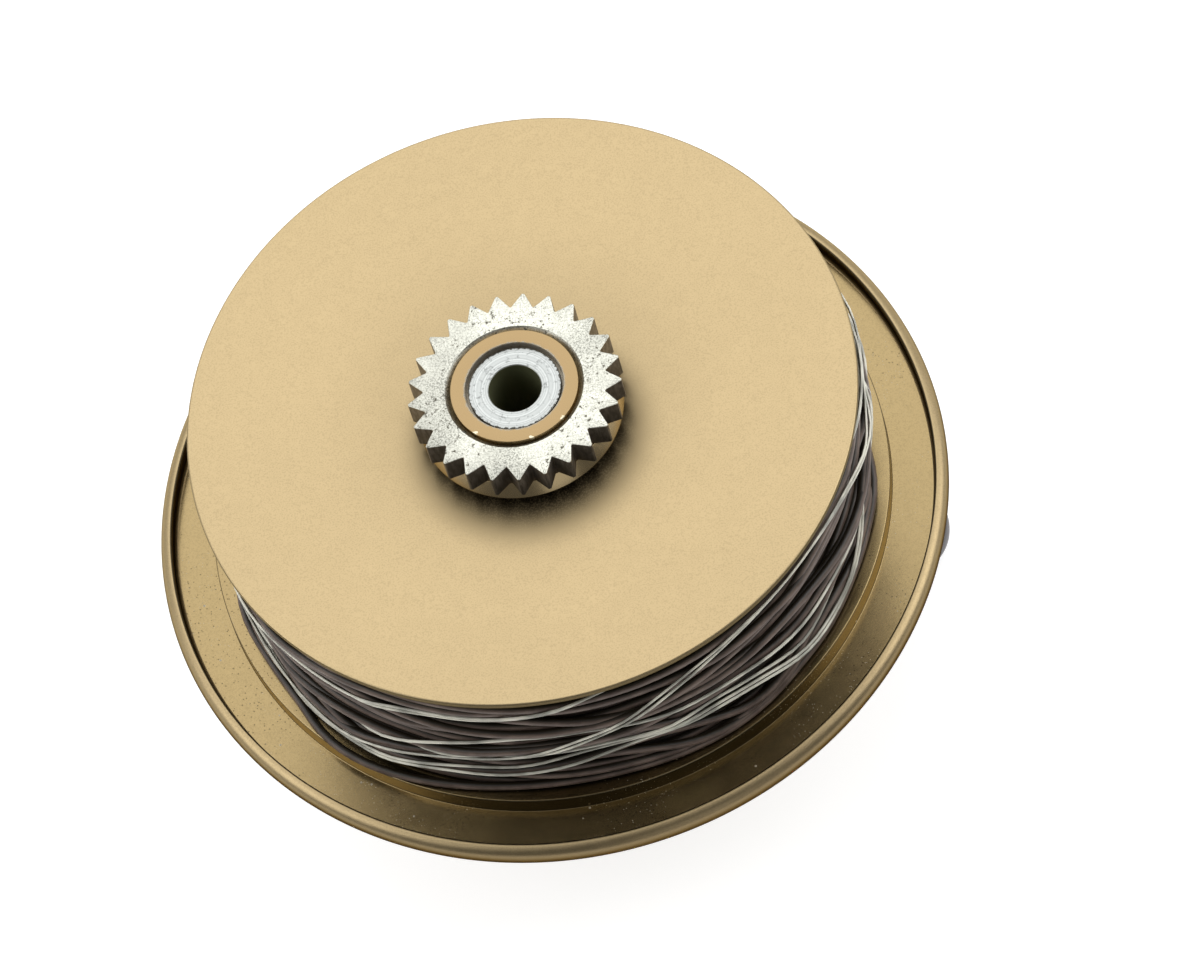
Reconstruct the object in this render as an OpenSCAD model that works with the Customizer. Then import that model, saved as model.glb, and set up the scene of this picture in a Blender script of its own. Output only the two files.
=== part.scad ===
// Spool of a fly-fishing reel, wound with line and ready to slide on its spindle.
// The spindle bore is the Z axis. The ratchet side looks up (+Z), the handle side looks down.
// Z = 0 is the edge plane of the rear flange. The handle stands on the +X side.

/* [Rear flange] */
// Outer radius of the rear flange
rear_flange_r = 38.3; // [37.8:0.1:38.6]
// Thickness of the rear flange
rear_flange_t = 0.8; // [0.7:0.1:1]
// How far the rear flange is dished towards the hub
rear_dish = 1; // [0.8:0.1:1.2]

/* [Front flange and rim] */
// Width of the line channel at the rear flange's edge
channel_w = 20.14; // [19:0.01:22]
// Radius of the raised land that the winding leans on
land_r = 39.55; // [39.3:0.05:39.8]
// Height of the land above the recess around it
land_h = 2.45; // [2.2:0.05:2.6]
// Inner radius of the rim's lip
lip_r = 44.7; // [44.6:0.05:44.8]
// Height of the lip above the recess
lip_h = 2.15; // [1.9:0.05:2.3]
// Largest radius of the palming rim
rim_r = 46.15; // [46.05:0.05:46.3]
// Thickness of the front flange below the recess
front_t = 1.3; // [1.2:0.1:1.5]
// Outer radius of the dish turned in the front face
dish_r = 28; // [26:0.5:29]

/* [Hub and gear] */
// Number of ratchet teeth
gear_teeth = 25; // [20:1:30]
// Radius of the tooth tips
gear_tip_r = 12.15; // [12:0.05:12.3]
// Radius of the tooth roots
gear_root_r = 10.45; // [10.2:0.05:10.6]
// Thickness of the ratchet gear
gear_t = 3.4; // [3.2:0.1:3.4]
// Height of the gear's face above the rear flange's edge plane
gear_face_z = 3.8; // [3.7:0.05:3.9]
// Angle of the first tooth from +X
gear_phase = -6.7; // [-7:0.1:7]
// Radius of the hub's seat in the gear
seat_r = 7.3; // [7.2:0.05:7.4]
// Radius of the counterbore in the hub's end
counterbore_r = 5.6; // [5.4:0.05:5.8]
// Radius of the spindle bore in both bushes
bore_r = 3; // [2.8:0.05:3.2]
// Length of each bush
bush_len = 10; // [8:0.5:10]

/* [Winding] */
// Outer radius of the arbor drum
arbor_r = 16; // [15.5:0.1:16.5]
// Outer radius of the backing
backing_r = 28; // [24:0.5:30]
// Outer radius of the wound fly line
line_r = 37.6; // [37.2:0.1:37.6]
// Diameter of the leader
leader_d = 0.55; // [0.4:0.05:0.6]

/* [Handle and counterweight] */
// Distance of the handle from the spool's axis
handle_at = 39; // [38.5:0.1:39.5]
// Length of the knob
knob_len = 20; // [16:0.1:22]
// Largest radius of the knob
knob_r = 5.5; // [5:0.1:6]
// Distance of the counterweight from the spool's axis
weight_at = 36.5; // [35.5:0.1:38]
// Radius of the counterweight
weight_r = 5.5; // [5:0.1:5.8]
// Height of the counterweight
weight_h = 4; // [3:0.1:5]

/* [Spool latch] */
// Radius of the latch base and of its cover
latch_r = 11.5; // [11.3:0.1:12]
// Width of the latch slide
slide_w = 8.9; // [8.5:0.1:9]
// Travel of the latch slide
slide_travel = 1.5; // [1.2:0.1:1.6]

/* [Hidden] */

bronze = [0.80, 0.70, 0.51];
dark_bronze = [0.66, 0.54, 0.36];
steel = [0.80, 0.81, 0.78];
round_fn = 96;
small_fn = 48;

// Levels along the axis, from the rear flange's edge down to the front face
rear_in_z = -rear_flange_t - rear_dish;
hub_shoulder_z = -rear_dish;
land_z = -rear_flange_t - channel_w;
recess_z = land_z - land_h;
lip_z = recess_z + lip_h;
face_z = recess_z - front_t;
dish_z = land_z - 1.56;

// The rear flange is flat near the hub and conical from there to its edge
cone_out_r = 12.6;
cone_in_r = arbor_r + 1;
edge_chamfer = 0.15;
hub_r = 9;
bush_r = 5;
hub_end_z = gear_face_z + 0.15;
counterbore_floor_z = hub_end_z - 1.05;
bush_top_z = counterbore_floor_z + 0.5;
gear_back_z = gear_face_z - gear_t;
collar_top_r = gear_root_r + 0.15;
collar_foot_r = 11.8;
drum_wall = 1.2;

// Rounding of the land's edge, of its foot and of the rim
land_round = 0.2;
foot_round = 0.4;
rim_top_round = lip_z - (face_z + 2.06);
rim_mid_z = lip_z - rim_top_round;
rim_low_round = 2.4;
rim_foot_z = face_z - 0.2;

// Handle stack, from the front face down to the knob's end
post_r = 1.5;
post_top_z = recess_z - 0.25;
ferrule_h = 0.6;
washer_t = 0.3;
knob_top_z = face_z - ferrule_h - washer_t - 0.05;
knob_end_z = knob_top_z - knob_len;
screw_seat_z = knob_end_z + 2.2;
screw_hole_r = 0.9;
run_gap = 0.05;

// Counterweight screw, from the pocket in the weight up into the front flange
weight_screw_r = 1.2;
weight_screw_depth = 2.4;
weight_pocket = 1.3;

// Latch stack, from the dish down to the cover's face
base_z = dish_z - 2.8;
channel_z = base_z + 1.3;
cover_z = base_z - 1.2;
slide_gap = 0.05;
slide_end = -6.5;
wall_end = -10.5;
pad_at = latch_r + slide_travel + 0.25;
spindle_clear_r = bore_r + 0.2;
groove_r = bore_r - 0.55;
spring_r = 0.48;
wire_r = 0.11;
latch_screw_depth = 3;
screw_places = [for (sx = [-1, 1], sy = [-1, 1]) [sx * 6.9, sy * 3.2]];

// Level of the rear flange's inner face at radius r
function inner_face_z(r) =
    rear_in_z + max(0, r - cone_in_r) / (rear_flange_r - edge_chamfer - cone_in_r) * rear_dish;

module lathe(points) {
    rotate_extrude($fn = round_fn) polygon(points);
}

module at_handle() {
    translate([handle_at, 0, 0]) children();
}

module rear_flange() {
    color(bronze) lathe([
        [hub_r, rear_in_z],
        [cone_in_r, rear_in_z],
        [rear_flange_r - edge_chamfer, -rear_flange_t],
        [rear_flange_r, -rear_flange_t + edge_chamfer],
        [rear_flange_r, -edge_chamfer],
        [rear_flange_r - edge_chamfer, 0],
        [cone_out_r, hub_shoulder_z],
        [hub_r, hub_shoulder_z]
    ]);
}

// One turned piece: the gear's seat, the collar that clamps the rear flange, and the tube
module spool_hub() {
    color(bronze) difference() {
        lathe([
            [bush_r, dish_z],
            [hub_r, dish_z],
            [hub_r, hub_shoulder_z],
            [collar_foot_r, hub_shoulder_z],
            [collar_top_r, gear_back_z],
            [seat_r, gear_back_z],
            [seat_r, hub_end_z],
            [counterbore_r, hub_end_z],
            [counterbore_r, counterbore_floor_z],
            [bush_r, counterbore_floor_z]
        ]);
        for (p = screw_places)
            translate([p[0], p[1], dish_z - 1])
                cylinder(h = 1 + latch_screw_depth, r = 0.8, $fn = small_fn);
    }
}

function tooth_point(r, turn) = [r * cos(turn), r * sin(turn)];

// Symmetric V teeth with a narrow flat on each tip and in each root
module ratchet_gear() {
    pitch = 360 / gear_teeth;
    tip_half = 0.7;
    root_half = 0.4;
    outline = [for (i = [0 : gear_teeth - 1]) each [
        tooth_point(gear_tip_r, gear_phase + i * pitch - tip_half),
        tooth_point(gear_tip_r, gear_phase + i * pitch + tip_half),
        tooth_point(gear_root_r, gear_phase + (i + 0.5) * pitch - root_half),
        tooth_point(gear_root_r, gear_phase + (i + 0.5) * pitch + root_half)
    ]];
    bevel = 0.62;
    color(steel) difference() {
        translate([0, 0, gear_back_z]) linear_extrude(gear_t) polygon(outline);
        translate([0, 0, gear_back_z - 1]) cylinder(h = gear_t + 2, r = seat_r, $fn = round_fn);
        translate([0, 0, gear_face_z - bevel])
            cylinder(h = bevel * 2, r1 = seat_r, r2 = seat_r + bevel * 2, $fn = round_fn);
    }
}

// Plain sleeve with a small bevel at the mouth of its bore
module bush(top_z) {
    bevel = 0.25;
    lathe([
        [bore_r, top_z - bush_len],
        [bush_r, top_z - bush_len],
        [bush_r, top_z],
        [bore_r + bevel, top_z],
        [bore_r, top_z - bevel]
    ]);
}

module rear_bush() {
    color(steel) bush(bush_top_z);
}

module front_bush() {
    color([0.72, 0.52, 0.28]) bush(dish_z + bush_len);
}

module arbor_drum() {
    color(bronze) lathe([
        [arbor_r - drum_wall, land_z],
        [arbor_r, land_z],
        [arbor_r, rear_in_z],
        [arbor_r - drum_wall, rear_in_z]
    ]);
}

// Stepped disc, drilled from below for the handle post and for the counterweight screw
module front_flange() {
    color(bronze) difference() {
        lathe([
            [hub_r, land_z],
            [land_r - land_round, land_z],
            [land_r, land_z - land_round],
            [land_r, recess_z + foot_round],
            [land_r + foot_round, recess_z],
            [lip_r - foot_round, recess_z],
            [lip_r - foot_round, face_z],
            [dish_r + 0.6, face_z],
            [dish_r, dish_z],
            [hub_r, dish_z]
        ]);
        at_handle() translate([0, 0, face_z - 1])
            cylinder(h = post_top_z - face_z + 1, r = post_r, $fn = small_fn);
        translate([-weight_at, 0, face_z - 1])
            cylinder(h = 1 + weight_screw_depth, r = weight_screw_r, $fn = small_fn);
    }
}

// Half-round bead: a tight curve above its widest line and a slacker one below it
module rim_profile() {
    reach = 4;
    difference() {
        union() {
            intersection() {
                translate([rim_r - rim_top_round, rim_mid_z]) circle(rim_top_round, $fn = small_fn);
                translate([lip_r - reach, rim_mid_z]) square([2 * reach, reach]);
            }
            translate([lip_r - 1, rim_mid_z]) square([rim_r - rim_top_round - lip_r + 1, rim_top_round]);
            intersection() {
                translate([rim_r - rim_low_round, rim_mid_z]) circle(rim_low_round, $fn = small_fn);
                translate([lip_r - foot_round, rim_foot_z]) square([reach, rim_mid_z - rim_foot_z]);
            }
        }
        translate([lip_r - reach, recess_z + foot_round]) square([reach, reach]);
        translate([lip_r - foot_round, recess_z + foot_round]) circle(foot_round, $fn = small_fn);
        translate([lip_r - foot_round - reach, rim_foot_z - 1]) square([reach, 2 * reach]);
    }
}

module palming_rim() {
    color(dark_bronze) rotate_extrude($fn = round_fn) rim_profile();
}

module backing_line() {
    color([0.86, 0.85, 0.78]) lathe([
        [arbor_r, land_z],
        [backing_r, land_z],
        [backing_r, inner_face_z(backing_r)],
        [cone_in_r, rear_in_z],
        [arbor_r, rear_in_z]
    ]);
}

module fly_line() {
    color([0.24, 0.16, 0.15]) lathe([
        [backing_r, land_z],
        [line_r, land_z],
        [line_r, inner_face_z(line_r)],
        [backing_r, inner_face_z(backing_r)]
    ]);
}

// Turns of clear leader lying on top of the fly line
module leader_line() {
    turns = [-4.5, -9, -13.5, -18];
    color([0.78, 0.80, 0.76]) for (z = turns)
        rotate_extrude($fn = round_fn)
            translate([line_r + leader_d / 2, z]) circle(leader_d / 2, $fn = 16);
}

module handle_post() {
    hole_len = 6;
    color(steel) at_handle() difference() {
        translate([0, 0, screw_seat_z - run_gap])
            cylinder(h = post_top_z - screw_seat_z + run_gap, r = post_r, $fn = small_fn);
        translate([0, 0, screw_seat_z - 1])
            cylinder(h = hole_len + 1, r = screw_hole_r, $fn = small_fn);
    }
}

module ring(r_in, r_out, z_low, height) {
    translate([0, 0, z_low]) difference() {
        cylinder(h = height, r = r_out, $fn = small_fn);
        translate([0, 0, -1]) cylinder(h = height + 2, r = r_in, $fn = small_fn);
    }
}

module handle_ferrule() {
    color(dark_bronze) at_handle() ring(post_r, 4.2, face_z - ferrule_h, ferrule_h);
}

// One washer above the knob and one under the screw's head
module handle_washers() {
    color([0.88, 0.87, 0.83]) at_handle() {
        ring(post_r, 3.4, face_z - ferrule_h - washer_t, washer_t);
        ring(screw_hole_r, 2.7, screw_seat_z - run_gap - washer_t, washer_t);
    }
}

// Turned knob: slim at the root, fullest near its end, with a pocket for the screw's head
module handle_knob() {
    color([0.13, 0.12, 0.13]) at_handle() rotate_extrude($fn = small_fn) polygon([
        [post_r + run_gap, knob_top_z],
        [3.5, knob_top_z],
        [3.8, knob_top_z - 0.3],
        [3.65, knob_top_z - 3],
        [3.9, knob_top_z - 6],
        [knob_r - 0.45, knob_end_z + 6],
        [knob_r - 0.1, knob_end_z + 4.4],
        [knob_r, knob_end_z + 3.2],
        [knob_r - 0.15, knob_end_z + 1.8],
        [knob_r - 0.6, knob_end_z + 0.7],
        [knob_r - 1.3, knob_end_z],
        [3.2, knob_end_z],
        [3.2, screw_seat_z],
        [post_r + run_gap, screw_seat_z]
    ]);
}

// Screw with a cheese head and one straight slot
module slotted_screw(head_r, head_h, shank_r, shank_len) {
    slot_w = head_r * 0.28;
    difference() {
        union() {
            translate([0, 0, -head_h]) cylinder(h = head_h, r = head_r, $fn = small_fn);
            cylinder(h = shank_len, r = shank_r, $fn = small_fn);
        }
        translate([-head_r - 1, -slot_w / 2, -head_h - 1])
            cube([2 * head_r + 2, slot_w, 1 + head_h * 0.45]);
    }
}

module handle_screw() {
    color(steel) at_handle() translate([0, 0, screw_seat_z - run_gap - washer_t])
        slotted_screw(2.6, 1.3, screw_hole_r, 5);
}

module counterweight() {
    bevel = 0.6;
    color(dark_bronze) translate([-weight_at, 0, 0]) difference() {
        rotate_extrude($fn = small_fn) polygon([
            [0, face_z],
            [weight_r, face_z],
            [weight_r, face_z - weight_h + bevel],
            [weight_r - bevel, face_z - weight_h],
            [0, face_z - weight_h]
        ]);
        translate([0, 0, face_z - weight_h - 1])
            cylinder(h = weight_h + 2, r = weight_screw_r, $fn = small_fn);
        translate([0, 0, face_z - weight_h - 1]) cylinder(h = 1 + weight_pocket, r = 2.4, $fn = small_fn);
    }
}

// The screw's shank goes through the weight into a hole in the front flange
module counterweight_screw() {
    color(steel) translate([-weight_at, 0, face_z - weight_h + weight_pocket])
        slotted_screw(2.3, 1.15, weight_screw_r, weight_h - weight_pocket + weight_screw_depth);
}

// Round base with a channel for the slide, open on the +Y side
module latch_base() {
    reach = latch_r + 1;
    color(dark_bronze) difference() {
        translate([0, 0, base_z]) cylinder(h = dish_z - base_z, r = latch_r, $fn = round_fn);
        translate([0, 0, base_z - 1])
            cylinder(h = dish_z - base_z + 2, r = spindle_clear_r, $fn = small_fn);
        translate([-slide_w / 2 - slide_gap, wall_end, base_z - 1])
            cube([slide_w + 2 * slide_gap, reach - wall_end, 1 + channel_z - base_z]);
        for (p = screw_places)
            translate([p[0], p[1], base_z - 1])
                cylinder(h = dish_z - base_z + 2, r = 0.8, $fn = small_fn);
    }
}

// Sliding plate: its hole is wide for the spindle and narrow for the spindle's groove
module latch_slide() {
    plate_z = base_z + slide_gap;
    plate_t = channel_z - base_z - 2 * slide_gap;
    pad_t = 2.2;
    pad_w = slide_w + 2;
    color(steel) {
        difference() {
            translate([-slide_w / 2, slide_end, plate_z])
                cube([slide_w, pad_at + 0.5 - slide_end, plate_t]);
            for (hole = [[0, groove_r], [slide_travel, spindle_clear_r]])
                translate([0, hole[0], plate_z - 1])
                    cylinder(h = plate_t + 2, r = hole[1], $fn = small_fn);
        }
        intersection() {
            translate([-pad_w / 2, pad_at, cover_z - 0.3])
                cube([pad_w, pad_t + 1, plate_z + plate_t - cover_z + 0.3]);
            translate([0, pad_at + pad_t - 9, cover_z - 1]) cylinder(h = 6, r = 9, $fn = round_fn);
        }
    }
}

// A ring of the spring's wire at one place along its helix
function coil_ring(centre_y, turn, sides) = [for (k = [0 : sides - 1])
    let (reach = spring_r + wire_r * cos(360 * k / sides))
    [reach * cos(turn), centre_y + wire_r * sin(360 * k / sides), reach * sin(turn)]];

module latch_spring() {
    sides = 6;
    steps = 12;
    coils = 7;
    count = steps * coils;
    start = wall_end + wire_r + 0.02;
    rise = slide_end - wall_end - 2 * wire_r - 0.04;
    points = [for (i = [0 : count]) each coil_ring(start + rise * i / count, 360 * i / steps, sides)];
    walls = [for (i = [0 : count - 1], k = [0 : sides - 1]) [
        i * sides + k,
        i * sides + (k + 1) % sides,
        (i + 1) * sides + (k + 1) % sides,
        (i + 1) * sides + k
    ]];
    first_cap = [for (k = [sides - 1 : -1 : 0]) k];
    last_cap = [for (k = [0 : sides - 1]) count * sides + k];
    color(steel) translate([0, 0, (base_z + channel_z) / 2])
        polyhedron(points, concat([first_cap], walls, [last_cap]), convexity = 8);
}

module latch_cover() {
    color(dark_bronze) difference() {
        union() {
            rotate_extrude($fn = round_fn) polygon([
                [0, base_z],
                [latch_r, base_z],
                [latch_r, cover_z + 0.5],
                [latch_r - 0.5, cover_z],
                [0, cover_z]
            ]);
        }
        translate([0, 0, cover_z + 0.6]) cylinder(h = 2, r = spindle_clear_r, $fn = small_fn);
        for (p = screw_places) {
            translate([p[0], p[1], cover_z - 1]) cylinder(h = 3, r = 0.8, $fn = small_fn);
            translate([p[0], p[1], cover_z - 1]) cylinder(h = 1.75, r = 1.5, $fn = small_fn);
        }
    }
}

// Four screws hold the cover and the base on the hub's end
module latch_screws() {
    color(steel) for (p = screw_places)
        translate([p[0], p[1], cover_z + 0.75])
            slotted_screw(1.4, 0.7, 0.8, dish_z - cover_z - 0.75 + latch_screw_depth);
}

rear_flange();
spool_hub();
ratchet_gear();
rear_bush();
front_bush();
arbor_drum();
front_flange();
palming_rim();
backing_line();
fly_line();
leader_line();
handle_post();
handle_ferrule();
handle_washers();
handle_knob();
handle_screw();
counterweight();
counterweight_screw();
latch_base();
latch_slide();
latch_spring();
latch_cover();
latch_screws();
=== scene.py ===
import math

import bmesh
import bpy
import numpy as np
from mathutils import Matrix, Vector

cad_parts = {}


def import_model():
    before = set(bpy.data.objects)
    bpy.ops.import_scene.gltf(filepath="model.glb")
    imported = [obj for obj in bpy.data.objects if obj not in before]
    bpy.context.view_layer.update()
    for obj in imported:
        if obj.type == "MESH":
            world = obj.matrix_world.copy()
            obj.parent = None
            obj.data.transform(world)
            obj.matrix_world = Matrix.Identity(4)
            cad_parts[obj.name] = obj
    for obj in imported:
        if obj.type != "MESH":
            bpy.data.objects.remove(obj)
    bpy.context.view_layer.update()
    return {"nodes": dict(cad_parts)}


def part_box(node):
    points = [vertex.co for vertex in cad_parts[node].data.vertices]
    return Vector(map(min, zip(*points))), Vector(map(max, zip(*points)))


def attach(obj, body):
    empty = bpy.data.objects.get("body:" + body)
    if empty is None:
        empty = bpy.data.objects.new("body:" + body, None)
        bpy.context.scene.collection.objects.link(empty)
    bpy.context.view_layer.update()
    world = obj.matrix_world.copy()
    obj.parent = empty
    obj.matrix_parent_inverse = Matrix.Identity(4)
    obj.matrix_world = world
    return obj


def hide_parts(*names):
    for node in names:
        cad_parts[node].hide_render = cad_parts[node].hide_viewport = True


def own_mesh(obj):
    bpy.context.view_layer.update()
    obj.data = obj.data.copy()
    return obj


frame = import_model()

MM = 0.001


def low(node):
    """Lowest corner of a CAD node, in millimetres."""
    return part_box(node)[0] / MM


def high(node):
    """Highest corner of a CAD node, in millimetres."""
    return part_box(node)[1] / MM


# Radii and levels that the CAD nodes give
FLANGE_R = 38.3
HUB_R = 9.0
BUSH_R = high("rear_bush").x
BORE_R = 3.0
ARBOR_R = high("arbor_drum").x
REAR_IN_Z = low("rear_flange").z
LAND_Z = high("front_flange").z
FACE_Z = low("front_flange").z
DISH_Z = low("spool_hub").z
HUB_END_Z = high("spool_hub").z
GEAR_FACE_Z = high("ratchet_gear").z
GEAR_BACK_Z = low("ratchet_gear").z
LIP_Z = high("palming_rim").z
RIM_FOOT_Z = low("palming_rim").z
FLOOR_Z = low("handle_knob").z

# Radii and levels inside the nodes, as the part's source has them
REAR_T = 0.8
REAR_DISH = 1.0
LAND_R = 39.55
LAND_H = 2.45
RECESS_Z = LAND_Z - LAND_H
LIP_R = 44.7
RIM_R = 46.15
RIM_TOP_ROUND = 1.39
RIM_MID_Z = LIP_Z - RIM_TOP_ROUND
RIM_LOW_ROUND = 2.4
FOOT_ROUND = 0.4
DISH_R = 28.0
SEAT_R = 7.3
COUNTERBORE_R = 5.6
COUNTERBORE_FLOOR_Z = HUB_END_Z - 1.05
COLLAR_TOP_R = 10.6
COLLAR_FOOT_R = 11.8
GEAR_TEETH = 25
GEAR_TIP_R = 12.15
GEAR_ROOT_R = 10.45
GEAR_PHASE = -6.7
POST_R = 1.5
BACKING_R = 28.0

# Places of marks on the surfaces: old grease with a painted shadow round the gear's collar is
# thickest a little towards the near side of the axis, the gear has a brown stain at the left and
# the recess has soot at the far left
GREASE_AND_SHADOW_AT = (0.6, -3.95, 0)
GEAR_STAIN_AT = (-8.6, -4.0, 3.8)
SOOT_AT = (-40.5, -13.0, RECESS_Z)

# Direction of the photograph's camera, in degrees from +X about the axis
NEAR_SIDE = -81


# ---------------------------------------------------------------- meshes

def finish_mesh(name, points, faces, body, material, stands_for=(), sharp=38):
    """Makes a smooth-shaded piece from points in millimetres and sets it on its body."""
    mesh = bpy.data.meshes.new(name)
    mesh.from_pydata([tuple(p) for p in np.asarray(points, float) * MM], [], faces)
    work = bmesh.new()
    work.from_mesh(mesh)
    bmesh.ops.recalc_face_normals(work, faces=work.faces)
    work.to_mesh(mesh)
    work.free()
    mesh.shade_smooth()
    mesh.set_sharp_from_angle(angle=math.radians(sharp))
    for m in material if isinstance(material, (list, tuple)) else [material]:
        mesh.materials.append(m)
    piece = bpy.data.objects.new(name, mesh)
    bpy.context.scene.collection.objects.link(piece)
    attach(piece, body)
    if stands_for:
        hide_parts(*stands_for)
    return piece


def rounded(corners, steps=5):
    """A closed (r, z) outline; a corner given as (r, z, radius) becomes an arc of that radius."""
    out = []
    for i, corner in enumerate(corners):
        p = np.array(corner[:2], float)
        radius = corner[2] if len(corner) > 2 else 0
        if not radius:
            out.append(p)
            continue
        before = np.array(corners[i - 1][:2], float) - p
        after = np.array(corners[(i + 1) % len(corners)][:2], float) - p
        before /= np.linalg.norm(before)
        after /= np.linalg.norm(after)
        middle = before + after
        if np.linalg.norm(middle) < 1e-6:
            out.append(p)  # a straight line has no corner to round
            continue
        half = math.acos(np.clip(before @ after, -1, 1)) / 2
        centre = p + middle / np.linalg.norm(middle) * radius / math.sin(half)
        first = p + before * radius / math.tan(half) - centre
        last = p + after * radius / math.tan(half) - centre
        sweep = math.atan2(first[0] * last[1] - first[1] * last[0], first @ last)
        for k in range(steps + 1):
            c, s = math.cos(sweep * k / steps), math.sin(sweep * k / steps)
            out.append(centre + np.array([first[0] * c - first[1] * s, first[0] * s + first[1] * c]))
    return out


def lathe(outline, centre=(0, 0), segments=256):
    """Points and faces of a closed (r, z) outline turned about a vertical line."""
    outline = np.array(outline, float)
    turns = np.linspace(0, 2 * math.pi, segments, endpoint=False)
    r, z = outline[:, 0], outline[:, 1]
    x = centre[0] + np.outer(np.cos(turns), r)
    y = centre[1] + np.outer(np.sin(turns), r)
    points = np.stack([x, y, np.broadcast_to(z, x.shape)], -1).reshape(-1, 3)
    n = len(outline)
    faces = []
    for s in range(segments):
        a, b = s * n, (s + 1) % segments * n
        for i in range(n):
            j = (i + 1) % n
            faces.append((a + i, a + j, b + j, b + i))
    return points, faces


def tube(path, radius, sides=8):
    """Points and faces of a round tube with closed ends along a path; radius is a number or one per point."""
    path = np.asarray(path, float)
    radius = np.broadcast_to(radius, len(path))
    along = np.gradient(path, axis=0)
    along /= np.linalg.norm(along, axis=1)[:, None]
    out = path * [1, 1, 0]
    out -= (out * along).sum(1)[:, None] * along
    out /= np.linalg.norm(out, axis=1)[:, None]
    side = np.cross(along, out)
    turns = np.linspace(0, 2 * math.pi, sides, endpoint=False)
    ring = np.cos(turns)[None, :, None] * out[:, None] + np.sin(turns)[None, :, None] * side[:, None]
    points = (path[:, None] + ring * radius[:, None, None]).reshape(-1, 3)
    faces = []
    for i in range(len(path) - 1):
        for k in range(sides):
            j = (k + 1) % sides
            faces.append((i * sides + k, i * sides + j, (i + 1) * sides + j, (i + 1) * sides + k))
    faces.append(tuple(range(sides)))
    faces.append(tuple((len(path) - 1) * sides + k for k in range(sides)))
    return points, faces


# ---------------------------------------------------------------- materials

class Shader:
    """One Principled material with a few short ways to add nodes to it."""

    def __init__(self, name, colour, metallic, roughness):
        self.material = bpy.data.materials.new(name)
        self.material.use_nodes = True
        self.tree = self.material.node_tree
        self.surface = self.tree.nodes["Principled BSDF"]
        self.surface.inputs["Base Color"].default_value = (*colour, 1)
        self.surface.inputs["Metallic"].default_value = metallic
        self.surface.inputs["Roughness"].default_value = roughness
        place = self.tree.nodes.new("ShaderNodeTexCoord")
        scale = self.tree.nodes.new("ShaderNodeVectorMath")
        scale.operation = "SCALE"
        scale.inputs["Scale"].default_value = 1 / MM
        self.tree.links.new(place.outputs["Object"], scale.inputs[0])
        self.mm = scale.outputs[0]

    def set(self, socket, value):
        """Sets one of the surface's own sockets."""
        self.surface.inputs[socket].default_value = value

    def feed(self, socket, output):
        """Drives one of the surface's sockets from a node."""
        self.tree.links.new(output, self.surface.inputs[socket])

    def _put(self, node, socket, value):
        if isinstance(value, bpy.types.NodeSocket):
            self.tree.links.new(value, node.inputs[socket])
        else:
            node.inputs[socket].default_value = value

    def noise(self, per_mm, detail=2, roughness=0.5, at=None, stretch=None):
        """Noise of about one lump per 1 / per_mm millimetres."""
        at = at or self.mm
        if stretch:
            at = self.vector("MULTIPLY", at, stretch)
        node = self.tree.nodes.new("ShaderNodeTexNoise")
        self._put(node, "Vector", at)
        self._put(node, "Scale", per_mm)
        self._put(node, "Detail", detail)
        self._put(node, "Roughness", roughness)
        return node.outputs["Fac"]

    def cells(self, per_mm, randomness=1.0):
        """Distance to the nearest of scattered points, in cells."""
        node = self.tree.nodes.new("ShaderNodeTexVoronoi")
        self._put(node, "Vector", self.mm)
        self._put(node, "Scale", per_mm)
        self._put(node, "Randomness", randomness)
        return node.outputs["Distance"]

    def vector(self, operation, a, b=(0, 0, 0), out="Vector"):
        node = self.tree.nodes.new("ShaderNodeVectorMath")
        node.operation = operation
        self._put(node, 0, a)
        self._put(node, 1, b)
        return node.outputs[out]

    def math(self, operation, a, b=0.0, c=0.0):
        node = self.tree.nodes.new("ShaderNodeMath")
        node.operation = operation
        for i, value in enumerate((a, b, c)):
            if i < len(node.inputs):
                self._put(node, i, value)
        return node.outputs[0]

    def spread(self, value, low_in, high_in, low_out=0.0, high_out=1.0):
        """value mapped from one range to another and held inside it."""
        node = self.tree.nodes.new("ShaderNodeMapRange")
        node.interpolation_type = "SMOOTHSTEP"
        for socket, v in (("Value", value), ("From Min", low_in), ("From Max", high_in),
                          ("To Min", low_out), ("To Max", high_out)):
            self._put(node, socket, v)
        return node.outputs["Result"]

    def mix(self, share, a, b):
        """Colour a where share is 0, colour b where it is 1."""
        node = self.tree.nodes.new("ShaderNodeMix")
        node.data_type = "RGBA"
        self._put(node, 0, share)
        for socket, v in ((6, a), (7, b)):
            self._put(node, socket, v if isinstance(v, bpy.types.NodeSocket) else (*v, 1))
        return node.outputs[2]

    def radius(self):
        """Distance from the spool's axis, in millimetres."""
        return self.vector("LENGTH", self.vector("MULTIPLY", self.mm, (1, 1, 0)), out="Value")

    def outward(self):
        """1 where the surface faces away from the spool's axis, 0 where it faces along the axis."""
        place = self.tree.nodes.new("ShaderNodeTexCoord")
        out = self.vector("NORMALIZE", self.vector("MULTIPLY", self.mm, (1, 1, 0)))
        return self.vector("DOT_PRODUCT", place.outputs["Normal"], out, out="Value")

    def along(self, value):
        """A vector that changes with value only, to make rings or bands of noise."""
        node = self.tree.nodes.new("ShaderNodeCombineXYZ")
        self._put(node, "X", value)
        return node.outputs["Vector"]

    def near(self, point, reach, rough=0.0):
        """1 at a point, 0 further than reach from it, with a ragged edge."""
        far = self.vector("DISTANCE", self.mm, point, out="Value")
        ragged = self.math("MULTIPLY_ADD", self.math("SUBTRACT", self.noise(4, 2), 0.5), rough, far)
        return self.spread(ragged, reach, reach * 0.7)

    def bump(self, height, strength, distance_mm):
        """Raises the surface by the height, up to the distance."""
        node = self.tree.nodes.new("ShaderNodeBump")
        self._put(node, "Height", height)
        self._put(node, "Strength", strength)
        self._put(node, "Distance", distance_mm * MM)
        self.feed("Normal", node.outputs["Normal"])


EDGE_TINT = (0.90, 0.80, 0.60, 1)


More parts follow.
